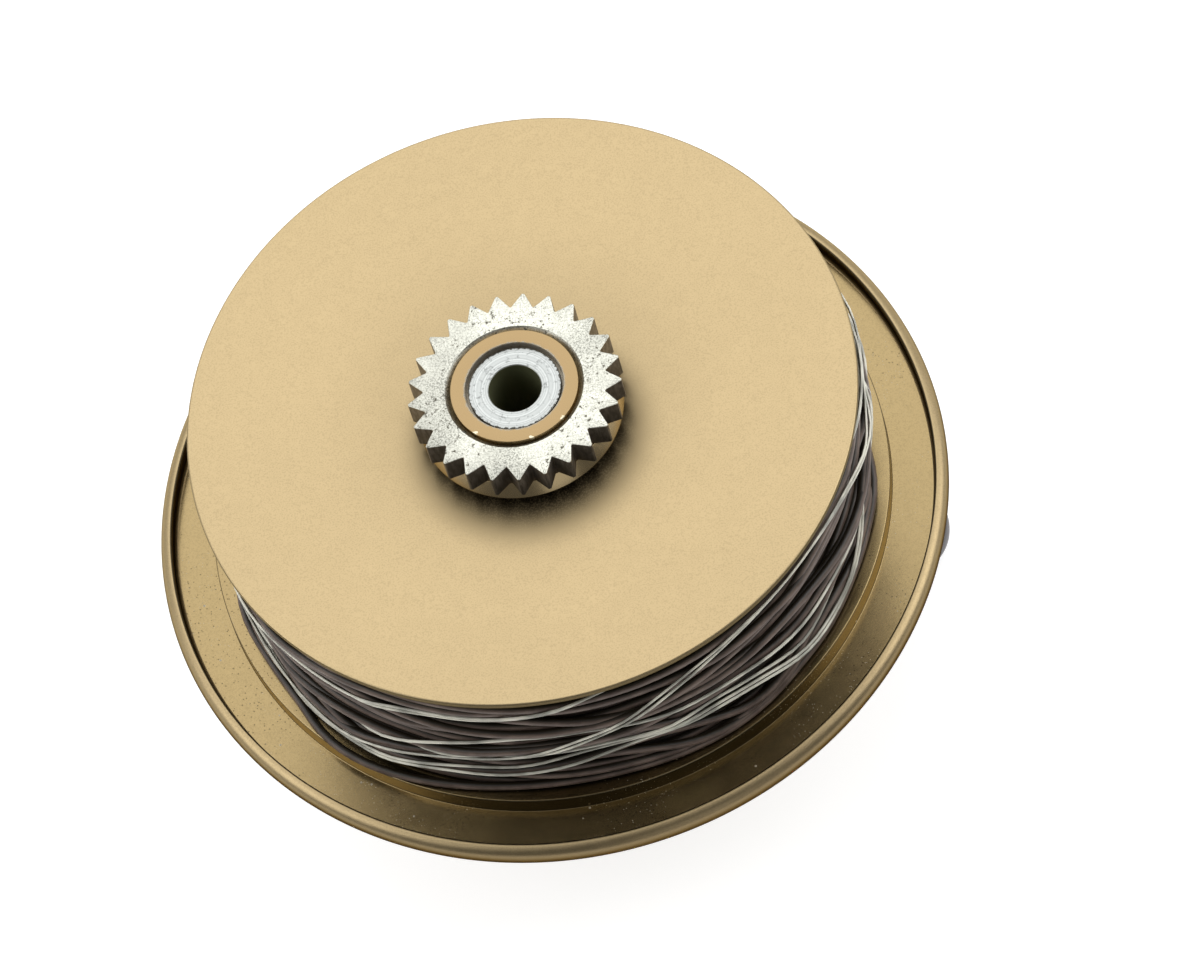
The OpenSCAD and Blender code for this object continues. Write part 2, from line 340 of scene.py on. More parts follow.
def scaled(colour, factor):
    """The colour, lighter or darker."""
    return tuple(c * factor for c in colour)


def anodised(name, colour, roughness, grain=0.05, near_hub=1.0, dust=0.0, lip=False):
    """Satin anodised aluminium with a fine blasted grain and faint clouds.

    near_hub is how much of its colour it keeps beside the hub, as it turns darker towards it. Below 1
    it is the rear flange's finish, which also has old grease with a painted shadow round the gear's
    collar and painted shade on its outer edge. dust is the strength of the dust on it, which comes
    with soot and with painted shade on the walls that face outward. With lip, the inner wall of the
    rim and its edge carry a dark painted shadow line, and the lower part of its outside is painted
    darker and browner, with darker reflections, as painted shade.
    """
    s = Shader(name, colour, 1.0, roughness)
    clouds = s.spread(s.noise(0.035, 2), 0.35, 0.65)
    base = s.mix(clouds, scaled(colour, 0.99), scaled(colour, 1.01))
    if near_hub < 1:
        base = s.mix(s.spread(s.radius(), 26, 11), base, s.mix(near_hub, (0, 0, 0), base))
        # Old grease and a painted shadow round the gear's collar, strongest within 8 mm of a place a little
        # towards the near side.
        across = s.vector("MULTIPLY", s.vector("SUBTRACT", s.mm, GREASE_AND_SHADOW_AT), (1, 1, 0))
        grease_and_shadow = s.spread(s.vector("LENGTH", across, out="Value"), 16, 8)
        base = s.mix(grease_and_shadow, base, scaled(colour, 0.05))
        # Painted shade: the outer edge, which faces away from the axis, is painted darker.
        base = s.mix(s.spread(s.outward(), 0.6, 0.95), base, scaled(colour, 0.3))
    speck = s.spread(s.noise(5.5, 2, 0.6), 0.36, 0.55)
    base = s.mix(speck, s.mix(0.30, base, scaled(colour, 0.55)), base)
    if dust:
        patches = s.math("MAXIMUM", s.spread(s.noise(0.15, 2), 0.47, 0.62), s.near(SOOT_AT, 17, 3))
        soot = s.math("MULTIPLY", s.spread(s.cells(1.9), 0.21, 0.13), patches)
        base = s.mix(s.math("MULTIPLY", soot, 0.75), base, scaled(colour, 0.25))
        # Painted shade: walls that face away from the axis, such as the land's wall, are painted dark.
        base = s.mix(s.spread(s.outward(), 0.5, 0.9), base, (0.22, 0.19, 0.13))
        share = settled_dust(s, dust)
        base = s.mix(share, base, (0.34, 0.30, 0.23))
        s.feed("Metallic", s.math("SUBTRACT", 1.0, share))
    if lip:
        # Painted shadow: the rim's inner wall and lip edge are painted nearly black.
        base = s.mix(s.spread(s.radius(), LIP_R + 0.1, LIP_R + 0.22), scaled(colour, 0.12), base)
        # Painted shade: below the bead's middle the rim is painted darker and browner, and its reflections
        # are tinted dark.
        height = s.vector("DOT_PRODUCT", s.mm, (0, 0, 1), out="Value")
        low = s.spread(height, RIM_MID_Z + 1.1, RIM_MID_Z + 0.1)
        base = s.mix(low, base, [c * darkening for c, darkening in zip(colour, (0.56, 0.52, 0.46))])
        s.feed("Specular Tint", s.mix(low, EDGE_TINT[:3], (0.10, 0.09, 0.08)))
    else:
        s.set("Specular Tint", EDGE_TINT)
    s.feed("Base Color", base)
    s.feed("Roughness", s.spread(s.noise(0.6, 3), 0.3, 0.7, roughness - 0.01, roughness + 0.02))
    s.bump(s.noise(7.0, 3), grain, 0.05)
    return s.material


def settled_dust(s, amount):
    """Share of the surface under dust: small scattered grains, thicker in patches."""
    patches = s.spread(s.noise(0.12, 3), 0.40, 0.62)
    fine = s.math("MULTIPLY", s.spread(s.cells(2.4), 0.15, 0.09), patches)
    coarse = s.spread(s.cells(0.33), 0.060, 0.035)
    return s.math("MULTIPLY", s.math("MAXIMUM", fine, coarse), amount)


def hub_metal(name, colour):
    """The hub: grey-brown painted shade in its counterbore, a lighter collar as a painted highlight, a darker
    end face and a few bright chips on its outer edge.
    """
    s = Shader(name, colour, 1.0, 0.25)
    r = s.radius()
    s.set("Specular Tint", EDGE_TINT)
    end_face = [c * darkening for c, darkening in zip(colour, (0.72, 0.66, 0.60))]
    # Painted highlight: from r = 8 to 10 outwards the collar is painted half again lighter than the colour.
    ring = s.mix(s.spread(r, 8, 10), end_face, scaled(colour, 1.55))
    # Painted shade: a grey-brown, less metallic band in the counterbore, with a ragged edge.
    counterbore_shade = s.math("MULTIPLY_ADD", s.noise(2.2, 3), 0.5, r)
    base = s.mix(s.spread(counterbore_shade, 6.1, 5.85), ring, (0.26, 0.235, 0.19))
    for azimuth in (-133, -79, -46):
        at = (SEAT_R * math.cos(math.radians(azimuth)), SEAT_R * math.sin(math.radians(azimuth)), HUB_END_Z)
        base = s.mix(s.near(at, 0.36, 0.7), base, (0.50, 0.45, 0.33))
    s.feed("Base Color", base)
    s.feed("Metallic", s.spread(counterbore_shade, 6.1, 5.85, 1.0, 0.25))
    s.bump(s.noise(6.0, 3), 0.06, 0.05)
    return s.material


def gear_face(name):
    """Pale pressed steel: fine speckle all over, pits and stains in places."""
    pale, stain = (0.50, 0.50, 0.44), (0.12, 0.11, 0.085)
    s = Shader(name, pale, 1.0, 0.40)
    where = s.math("MAXIMUM", s.spread(s.noise(0.20, 2), 0.45, 0.62), s.near(GEAR_STAIN_AT, 6.0))
    pits = s.spread(s.noise(1.6, 4, 0.72), 0.56, 0.64)
    specks = s.spread(s.cells(3.4), 0.24, 0.12)
    few = s.spread(s.noise(0.5, 3), 0.42, 0.62)
    share = s.math("MAXIMUM", s.math("MULTIPLY", pits, where), s.math("MULTIPLY", specks, few))
    fine = s.spread(s.noise(4.5, 3, 0.75), 0.38, 0.58)
    speckled = s.spread(s.noise(0.16, 2), 0.35, 0.6, 0.95, 0.5)
    grey = s.math("MULTIPLY", s.math("SUBTRACT", 1.0, fine), speckled)
    mottle = s.mix(grey, scaled(pale, 1.12), scaled(pale, 0.40))
    slow = s.mix(s.spread(s.noise(0.13, 2), 0.35, 0.65), s.mix(0.74, (0, 0, 0), mottle), mottle)
    s.feed("Base Color", s.mix(share, slow, stain))
    s.feed("Roughness", s.spread(share, 0, 1, 0.38, 0.7))
    s.bump(s.math("SUBTRACT", s.noise(4, 4, 0.65), share), 0.3, 0.07)
    return s.material


def gear_flank(name):
    """The sides of the teeth, the gear's underside and the wall of its hole: dark with old grease and with
    painted shade.
    """
    s = Shader(name, (0.08, 0.068, 0.055), 0.7, 0.40)
    streaks = s.noise(2.4, 3, 0.6, stretch=(1, 1, 0.25))
    s.feed("Base Color", s.mix(s.spread(streaks, 0.4, 0.65), (0.14, 0.122, 0.10), (0.22, 0.195, 0.165)))
    s.bump(s.noise(5, 3), 0.1, 0.05)
    return s.material


def bush_metal(name):
    """Bare turned bush: ring marks on its face, a ragged outer edge and painted shade in its bore."""
    pale = (0.37, 0.385, 0.375)
    s = Shader(name, pale, 1.0, 0.36)
    r = s.radius()
    rings = s.noise(5.0, 3, 0.7, at=s.along(r))
    blotch = s.noise(1.6, 4, 0.7)
    face = s.mix(s.spread(rings, 0.35, 0.65), scaled(pale, 0.68), scaled(pale, 1.15))
    face = s.mix(s.spread(blotch, 0.52, 0.70), face, scaled(pale, 0.45))
    edge = s.spread(s.math("MULTIPLY_ADD", s.noise(2.6, 3), 0.9, r), 5.55, 5.68)
    face = s.mix(edge, face, (0.07, 0.068, 0.06))
    # Painted shade: the bore's wall is painted dark olive and made less metallic.
    bore = s.spread(r, BORE_R + 0.04, BORE_R + 0.01)
    s.feed("Base Color", s.mix(bore, face, (0.12, 0.125, 0.065)))
    s.feed("Metallic", s.spread(bore, 0, 1, 1.0, 0.3))
    s.bump(s.math("ADD", rings, blotch), 0.3, 0.06)
    return s.material


def plain_steel(name):
    """Bright turned steel of the small hardware."""
    s = Shader(name, (0.72, 0.71, 0.68), 1.0, 0.26)
    s.feed("Roughness", s.spread(s.noise(1.8, 4, 0.6), 0.35, 0.7, 0.2, 0.4))
    s.bump(s.noise(7, 2), 0.06, 0.03)
    return s.material


def fly_line_plastic(name):
    """Matt dark brown coating of the fly line, with painted shade on the sides of the strands that don't face
    outward and on the deeper turns.
    """
    s = Shader(name, (0.08, 0.055, 0.05), 0.0, 0.42)
    brown = s.mix(s.spread(s.noise(0.35, 3), 0.35, 0.65), (0.076, 0.053, 0.041), (0.134, 0.097, 0.076))
    # Painted shade: the sides of each strand that don't face outward are painted nearly black.
    brown = s.mix(s.spread(s.outward(), 0.25, 0.85), (0.014, 0.010, 0.005), brown)
    # Painted shade: the deeper turns, below r = 37.7, are painted nearly black.
    s.feed("Base Color", s.mix(s.spread(s.radius(), 36.2, 37.7), (0.012, 0.009, 0.005), brown))
    s.set("Specular IOR Level", 0.35)
    s.bump(s.noise(3.0, 3), 0.15, 0.06)
    return s.material


def dark_core(name):
    """The deeper turns, painted near black as painted shade; they only show between the strands."""
    s = Shader(name, (0.014, 0.010, 0.005), 0.0, 0.8)
    s.feed("Base Color", s.mix(s.noise(0.8, 2), (0.010, 0.007, 0.003), (0.02, 0.014, 0.008)))
    s.set("Specular IOR Level", 0.2)
    return s.material


def leader_nylon(name):
    """Clear nylon monofilament, a little yellow, with painted shade along its lower edges."""
    s = Shader(name, (0.6, 0.59, 0.50), 0.0, 0.24)
    clear = s.mix(s.spread(s.noise(0.25, 2), 0.35, 0.65), (0.32, 0.315, 0.265), (0.76, 0.735, 0.62))
    # Painted shade: the sides that face the axis are painted dark.
    s.feed("Base Color", s.mix(s.spread(s.outward(), -0.45, 0.1), (0.10, 0.09, 0.07), clear))
    s.set("Transmission Weight", 0.15)
    s.set("IOR", 1.53)
    s.bump(s.noise(1.5, 2), 0.1, 0.03)
    return s.material


def moulded(name, colour, roughness):
    """Moulded or turned plastic with a fine skin."""
    s = Shader(name, colour, 0.0, roughness)
    s.feed("Base Color", s.mix(s.noise(0.5, 3), scaled(colour, 0.85), scaled(colour, 1.15)))
    s.bump(s.noise(4.0, 3), 0.12, 0.04)
    return s.material


def braid(name):
    """Woven white backing."""
    s = Shader(name, (0.75, 0.74, 0.66), 0.0, 0.8)
    weave = s.noise(3.0, 2, stretch=(1, 1, 3))
    s.feed("Base Color", s.mix(weave, (0.6, 0.58, 0.5), (0.82, 0.81, 0.74)))
    s.bump(weave, 0.5, 0.1)
    return s.material


BRONZE = (0.34, 0.262, 0.145)
bronze = anodised("bronze_anodise", BRONZE, 0.37, near_hub=0.88)
dusty_bronze = anodised("bronze_dusty", (0.238, 0.178, 0.087), 0.22, dust=0.85)
hub_bronze = hub_metal("hub_anodise", BRONZE)
rim_bronze = anodised("rim_anodise", scaled(BRONZE, 0.92), 0.38, 0.012, lip=True)
trim_bronze = anodised("trim_anodise", scaled(BRONZE, 0.97), 0.34, 0.012)
steel = plain_steel("plain_steel")
gear_pale = gear_face("gear_face")
gear_dark = gear_flank("gear_flank")
bush_pale = bush_metal("bush_metal")
bush_brown = anodised("bush_bronze", (0.55, 0.36, 0.16), 0.3)
line_dark = fly_line_plastic("fly_line")
core_dark = dark_core("fly_line_core")
leader_clear = leader_nylon("leader")
knob_dark = moulded("knob_plastic", (0.045, 0.04, 0.045), 0.38)
nylon_white = moulded("nylon", (0.75, 0.74, 0.70), 0.45)
backing_pale = braid("backing")


# ---------------------------------------------------------------- turned pieces

def rear_flange():
    """Plain disc with soft edges, dished a little towards the hub."""
    inner_r = ARBOR_R + 1
    outline = rounded([
        (HUB_R, REAR_IN_Z),
        (inner_r, REAR_IN_Z),
        (FLANGE_R, -REAR_T, 0.25),
        (FLANGE_R, 0, 0.25),
        (COLLAR_FOOT_R + 0.8, -REAR_DISH),
        (HUB_R, -REAR_DISH),
    ])
    points, faces = lathe(outline)
    finish_mesh("rear_flange_turned", points, faces, "spool", bronze, ["rear_flange"])


def spool_hub():
    """Hub with the collar under the gear, the gear's seat and the counterbored end."""
    outline = rounded([
        (BUSH_R, DISH_Z),
        (HUB_R, DISH_Z),
        (HUB_R, -REAR_DISH),
        (COLLAR_FOOT_R, -REAR_DISH, 0.05),
        (COLLAR_TOP_R, GEAR_BACK_Z, 0.06),
        (SEAT_R, GEAR_BACK_Z),
        (SEAT_R, HUB_END_Z, 0.10),
        (COUNTERBORE_R, HUB_END_Z, 0.12),
        (COUNTERBORE_R, COUNTERBORE_FLOOR_Z),
        (BUSH_R, COUNTERBORE_FLOOR_Z),
    ])
    points, faces = lathe(outline, segments=192)
    finish_mesh("spool_hub_turned", points, faces, "spool", hub_bronze, ["spool_hub"])


def bush(name, node, material, flare):
    """Bush with its upper edge flared out a little where it was pressed home."""
    top, foot = high(node).z, low(node).z
    outline = rounded([
        (BORE_R, foot),
        (BUSH_R, foot),
        (BUSH_R, top - 0.3),
        (BUSH_R + flare, top - 0.18, 0.05),
        (BUSH_R + flare, top, 0.1),
        (BORE_R + 0.1, top, 0.04),
        (BORE_R, top - 0.1),
    ])
    points, faces = lathe(outline, segments=128)
    finish_mesh(name, points, faces, "spool", material, [node])


def front_flange():
    """Disc with a raised land, a recess round it and a shallow dish on the handle side."""
    outline = rounded([
        (HUB_R, LAND_Z),
        (LAND_R, LAND_Z, 0.14),
        (LAND_R, RECESS_Z, 0.1),
        (LIP_R - FOOT_ROUND, RECESS_Z),
        (LIP_R - FOOT_ROUND, FACE_Z),
        (DISH_R + 0.6, FACE_Z, 0.5),
        (DISH_R, DISH_Z, 0.3),
        (HUB_R, DISH_Z),
    ])
    points, faces = lathe(outline)
    finish_mesh("front_flange_turned", points, faces, "spool", dusty_bronze,
                ["front_flange"])


def palming_rim():
    """Rounded bead with a lip over the recess and a small fillet at its foot."""
    top_centre = (RIM_R - RIM_TOP_ROUND, RIM_MID_Z)
    low_centre = (RIM_R - RIM_LOW_ROUND, RIM_MID_Z)
    top = [(top_centre[0] + RIM_TOP_ROUND * math.cos(a), top_centre[1] + RIM_TOP_ROUND * math.sin(a))
           for a in np.radians(np.linspace(86, 0, 14))]
    foot_turn = math.degrees(math.asin((RIM_FOOT_Z - RIM_MID_Z) / RIM_LOW_ROUND))
    below = [(low_centre[0] + RIM_LOW_ROUND * math.cos(a), low_centre[1] + RIM_LOW_ROUND * math.sin(a))
             for a in np.radians(np.linspace(0, foot_turn, 12)[1:])]
    fillet = [(LIP_R - FOOT_ROUND * (1 - math.cos(a)), RECESS_Z + FOOT_ROUND * (1 - math.sin(a)))
              for a in np.radians(np.linspace(90, 0, 5))]
    outline = fillet + [(LIP_R, LIP_Z - 0.06)] + top + below + [(LIP_R - FOOT_ROUND, RIM_FOOT_Z)]
    points, faces = lathe(outline, segments=320)
    finish_mesh("palming_rim_turned", points, faces, "spool", rim_bronze, ["palming_rim"])


# ---------------------------------------------------------------- gear

def inset(outline, by):
    """A closed outline of (x, y) points moved inwards by a distance."""
    p = np.asarray(outline, float)
    along = np.roll(p, -1, 0) - np.roll(p, 1, 0)
    along /= np.linalg.norm(along, axis=1)[:, None]
    return p + np.stack([-along[:, 1], along[:, 0]], -1) * by


def gear_outline():
    """The toothed outline, with the corners of its tips and roots rounded."""
    pitch = 360 / GEAR_TEETH
    corners = []
    for i in range(GEAR_TEETH):
        middle = GEAR_PHASE + i * pitch
        for r, turn, rounding in ((GEAR_TIP_R, -0.7, 0.06), (GEAR_TIP_R, 0.7, 0.06),
                                  (GEAR_ROOT_R, pitch / 2 - 0.4, 0.08), (GEAR_ROOT_R, pitch / 2 + 0.4, 0.08)):
            a = math.radians(middle + turn)
            corners.append((r * math.cos(a), r * math.sin(a), rounding))
    return np.array(rounded(corners, steps=2))


def ratchet_gear():
    """Pressed gear with softened edges and a bevelled hole; its underside, flanks and hole's wall are darker,
    painted shade with old grease.
    """
    outer = gear_outline()
    turns = np.arctan2(outer[:, 1], outer[:, 0])
    bevel = 0.62

    def circle(r):
        return np.stack([r * np.cos(turns), r * np.sin(turns)], -1)

    edge = 0.10
    rings = [
        (circle(SEAT_R), GEAR_BACK_Z),
        (outer, GEAR_BACK_Z),
        (outer, GEAR_FACE_Z - edge),
        (inset(outer, edge * 0.3), GEAR_FACE_Z - edge * 0.3),
        (inset(outer, edge), GEAR_FACE_Z),
        (circle(SEAT_R + bevel), GEAR_FACE_Z),
        (circle(SEAT_R), GEAR_FACE_Z - bevel),
    ]
    n = len(outer)
    points = np.concatenate([np.column_stack([ring, np.full(n, z)]) for ring, z in rings])
    faces = []
    dark = []
    for k in range(len(rings)):
        nxt = (k + 1) % len(rings)
        for i in range(n):
            j = (i + 1) % n
            faces.append((k * n + i, k * n + j, nxt * n + j, nxt * n + i))
            # The underside, the flanks and the hole's wall take the dark flank material: painted shade with
            # old grease.
            dark.append(k in (0, 1, 6))
    piece = finish_mesh("ratchet_gear_pressed", points, faces, "spool", [gear_pale, gear_dark],
                        ["ratchet_gear"], sharp=30)
    piece.data.polygons.foreach_set("material_index", [1 if d else 0 for d in dark])


# ---------------------------------------------------------------- handle and latch

def smooth_through(points, steps=6):
    """A smooth curve through (r, z) points, with both ends kept."""
    p = np.array([points[0]] + list(points) + [points[-1]], float)
    out = []
    for i in range(1, len(p) - 2):
        for t in np.linspace(0, 1, steps, endpoint=False):
            out.append(0.5 * (2 * p[i] + (p[i + 1] - p[i - 1]) * t
                              + (2 * p[i - 1] - 5 * p[i] + 4 * p[i + 1] - p[i + 2]) * t ** 2
                              + (3 * p[i] - p[i - 1] - 3 * p[i + 1] + p[i + 2]) * t ** 3))
    return [tuple(q) for q in out] + [tuple(points[-1])]


def handle_knob():
    """Turned knob with a bead at its root, a waist and a full end with a pocket for the screw."""
    top, end = high("handle_knob").z, low("handle_knob").z
    full = (high("handle_knob").x - low("handle_knob").x) / 2
    middle = (high("handle_knob").x + low("handle_knob").x) / 2
    bore = POST_R + 0.05
    pocket = end + 2.2
    body = smooth_through([(3.62, top - 1.3), (3.6, top - 3), (3.9, top - 6), (full - 0.5, end + 6),
                           (full - 0.12, end + 4.4), (full, end + 3.2), (full - 0.15, end + 1.8),
                           (full - 0.6, end + 0.7), (full - 1.3, end + 0.02)])
    outline = [(bore, top), (3.45, top), (3.7, top - 0.1), (3.8, top - 0.35), (3.8, top - 0.75),
               (3.72, top - 0.98), (3.5, top - 1.1)] + body + [
                   (3.45, end), (3.27, end + 0.06), (3.2, end + 0.25), (3.2, pocket), (bore, pocket)]
    points, faces = lathe(outline, (middle, 0), segments=112)
    finish_mesh("handle_knob_turned", points, faces, "knob", knob_dark,
                ["handle_knob"], sharp=32)


def latch_spring():
    """Fine coil between the latch base and the end of the slide, pressed shorter by the latch."""
    foot, top = low("latch_spring").y, high("latch_spring").y
    middle_z = (low("latch_spring").z + high("latch_spring").z) / 2
    wire = 0.11
    coil_r = (high("latch_spring").z - low("latch_spring").z) / 2 - wire
    steps = 24
    coils = 7
    turn = np.linspace(0, 2 * math.pi * coils, steps * coils + 1)
    y = np.linspace(foot + wire, top - wire, len(turn))
    path = np.stack([coil_r * np.cos(turn), y, middle_z + coil_r * np.sin(turn)], -1)
    points, faces = tube(path, wire * 0.98, sides=10)
    piece = finish_mesh("latch_spring_coil", points, faces, "spool", steel,
                        ["latch_spring"], sharp=80)
    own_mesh(piece)


def soften_edges(node, width):
    """Rounds the edges of a CAD node with a bevel modifier."""
    bevel = frame["nodes"][node].modifiers.new("edges", "BEVEL")
    bevel.width = width * MM
    bevel.segments = 2
    bevel.limit_method = "ANGLE"
    bevel.angle_limit = math.radians(40)
    bevel.harden_normals = True


# ---------------------------------------------------------------- winding

STEPS = 144  # points on one turn
GRID = 0.1  # width of a cell of the pile
BLOCK = 24  # steps laid at once
REACH = 5  # steps that a taut line bridges each way
EASE = 24  # steps of easy travel on each side of a join
LINE_D = 1.15
LEADER_D = 0.5
DRAWN_SHARE = 0.45  # radius of a strand's mesh over its diameter, so that dark gaps show
SIDE_ROOM = 0.04
CHANNEL_TOP = -REAR_T
CHANNEL_FOOT = LAND_Z
CORE_R = 34.0
EVEN_TURNS = 17
WANDER_TURNS = 4
STANDS_OFF = 0.35  # slack at which a line counts as a loose loop
CROWDED_R = 37.5  # radius above which the fly line is pulled lower

# The core is fuller on the near side: NEAR_BULGE higher, out to NEAR_REACH degrees from a place
# NEAR_MIDDLE degrees round from the camera's side, and fading over NEAR_FADE degrees
NEAR_MIDDLE = 4
NEAR_REACH = 88
NEAR_BULGE = 1.9
NEAR_FADE = 30

# Passes of the fly line over the near side, in the order in which they were wound: angle from
# the near side in degrees, and level. Between two passes the line goes round the back, and
# FLY_LINE_FAR and LEADER_FAR give its level half way round after each pass.
FLY_LINE_PASSES = [
    [(-80, -19.4), (-60, -20.1), (-40, -20.2), (-20, -20.3), (0, -20.2), (20, -20.3), (35, -19.2),
     (45, -19.8), (57, -19.3), (68, -19.4), (85, -17)],
    [(-80, -12), (-60, -14.5), (-45, -16.8), (-35, -17.6), (-28, -18.3), (-15, -18.3), (0, -18.9),
     (10, -20.0), (20, -20.3), (32, -18.2), (42, -15.2), (48, -12.8), (60, -12.5), (80, -10)],
    [(-80, -16), (-50, -16.2), (-30, -14.7), (-20, -16.0), (-10, -15.8), (0, -16.8), (8, -18.8),
     (17, -20.2), (27, -20.2), (38, -18.0), (50, -17.5), (65, -18.5), (85, -20)],
    [(-85, -9), (-60, -10.6), (-45, -11.3), (-33, -12.5), (-22, -11.6), (-12, -10.5), (0, -11.2),
     (10, -14.2), (17, -16.6), (24, -17.3), (32, -17.0), (42, -14.9), (50, -13.4), (62, -12.3), (80, -9)],
    [(-85, -17.5), (-60, -18.8), (-40, -17.4), (-20, -17.0), (-5, -15.3), (5, -15.2), (12, -17.3),
     (22, -19.4), (30, -18.7), (40, -16.6), (50, -15.6), (60, -16.0), (70, -16.8), (88, -13)],
    [(-85, -2.0), (-50, -1.6), (-30, -1.7), (-20, -2.2), (-10, -3.1), (0, -3.4), (12, -3.6),
     (22, -3.7), (35, -2.9), (50, -2.5), (65, -2.6), (85, -2.0)],
    [(-85, -8), (-65, -4.5), (-50, -2.4), (-40, -2.7), (-30, -3.8), (-20, -5.3), (-10, -6.7),
     (0, -7.9), (10, -8.6), (25, -8.7), (40, -9.9), (55, -11.0), (70, -9), (85, -6)],
    [(-85, -5), (-68, -6.5), (-55, -7.2), (-45, -7.6), (-38, -8.9), (-28, -8.8), (-15, -8.4),
     (0, -8.8), (12, -9.2), (22, -9.0), (30, -8.6), (40, -9.5), (52, -10.6), (62, -10.3), (70, -8.4),
     (85, -4)],
    [(-85, -13), (-70, -11.6), (-58, -10.7), (-48, -11.0), (-40, -11.6), (-30, -12.3), (-20, -11.3),
     (-10, -10.6), (0, -11.2), (8, -11.8), (16, -12.3), (25, -11.8), (36, -12.8), (48, -12.0),
     (60, -10.4), (75, -7)],
    [(-85, -3), (-65, -3.2), (-50, -4.3), (-42, -5.3), (-35, -6.2), (-27, -7.4), (-18, -8.0),
     (-5, -7.8), (8, -8.0), (20, -7.4), (30, -6.3), (40, -4.4), (50, -3.2), (60, -3.8), (70, -5.8),
     (85, -9)],
    [(-85, -2.5), (-60, -3), (-45, -1.8), (-32, -2.2), (-22, -3.2), (-12, -4.4), (0, -5.1),
     (10, -5.6), (20, -5.9), (30, -5.2), (40, -4.9), (50, -5.0), (58, -4.6), (70, -3.5), (85, -2.2)],
    [(-90, -16), (-80, -18.6), (-70, -20.0), (-50, -20.3), (-30, -20.3), (-10, -19.9), (5, -20.2),
     (20, -20.3), (40, -20.2), (60, -19.8), (80, -18)],
]

FLY_LINE_FAR = [-14.5, -6.5, -18.5, -12.5, -9.5, -4.5, -16.5, -11.0, -19.5, -7.5, -14.0, -5.0]

# Passes of the leader, wound last
UNDER_EDGE = [(-90, -3), (-70, -1.6), (-40, -1.1), (0, -1.1), (40, -1.1), (70, -1.4), (95, -3)]
UPPER = [
    (-88, -5), (-78, -8.5), (-70, -12.6), (-62, -12.6), (-52, -12.4), (-42, -11.8), (-33, -10.9),
    (-24, -10.0), (-15, -9.2), (-6, -9.3), (4, -10.6), (12, -11.9), (20, -11.8), (30, -12.2),
    (38, -12.9), (50, -13.0), (60, -12.2), (67, -10.2), (74, -7.0), (84, -5.2), (105, -3.0),
]
MIDDLE = [
    (-88, -6), (-79, -10), (-71, -13.6), (-60, -13.8), (-50, -13.2), (-40, -12.8), (-28, -12.7),
    (-18, -12.8), (-8, -12.9), (3, -13.1), (12, -13.8), (20, -14.8), (28, -15.8), (36, -16.6),
    (43, -15.9), (50, -15.0), (58, -13.9), (65, -12.2), (72, -9.3), (80, -7.0), (95, -5),
]
LOWER = [
    (-88, -6), (-79, -10.5), (-71, -15.2), (-64, -17.6), (-57, -19.4), (-50, -19.0), (-42, -17.4),
    (-33, -16.4), (-22, -16.3), (-14, -15.5), (-6, -14.2), (3, -13.9), (12, -14.5), (20, -15.4),
    (28, -16.4), (36, -17.8), (44, -18.5), (52, -17.6), (58, -16.0), (65, -13.9), (72, -11.5),
    (82, -9), (105, -8),
]
HIGH = [
    (-88, -5), (-75, -3.2), (-66, -3.2), (-60, -4.6), (-54, -5.9), (-48, -6.0), (-40, -5.0),
    (-30, -4.8), (-20, -4.5), (-12, -3.6), (-5, -2.4), (1, -1.6), (8, -1.2), (20, -1.1),
    (40, -1.2), (60, -1.6), (76, -2.4), (90, -3.0), (105, -3.2),
]
LONG = [
    (-88, -6), (-80, -10), (-73, -14.2), (-65, -16.4), (-57, -16.9), (-48, -16.1), (-40, -15.3),
    (-30, -13.8), (-20, -12.2), (-10, -10.0), (0, -7.9), (10, -5.7), (20, -3.8), (28, -2.6),
    (36, -2.0), (46, -1.8), (55, -2.4), (63, -4.2), (70, -5.6), (78, -4.4), (86, -3.2), (95, -2.4),
    (110, -2.0),
]

LEADER_FAR = [-5.5, -10.5, -15.0, -8.5, -18.0, -12.5, -6.8, -16.8, -13.6, -9.6]


def beside(one_pass, shift):
    """The same pass again, a strand's width away and wandering a little."""
    return [(angle, level + shift * (1 + 0.3 * math.sin(angle / 11 + shift * 9)))
            for angle, level in one_pass]


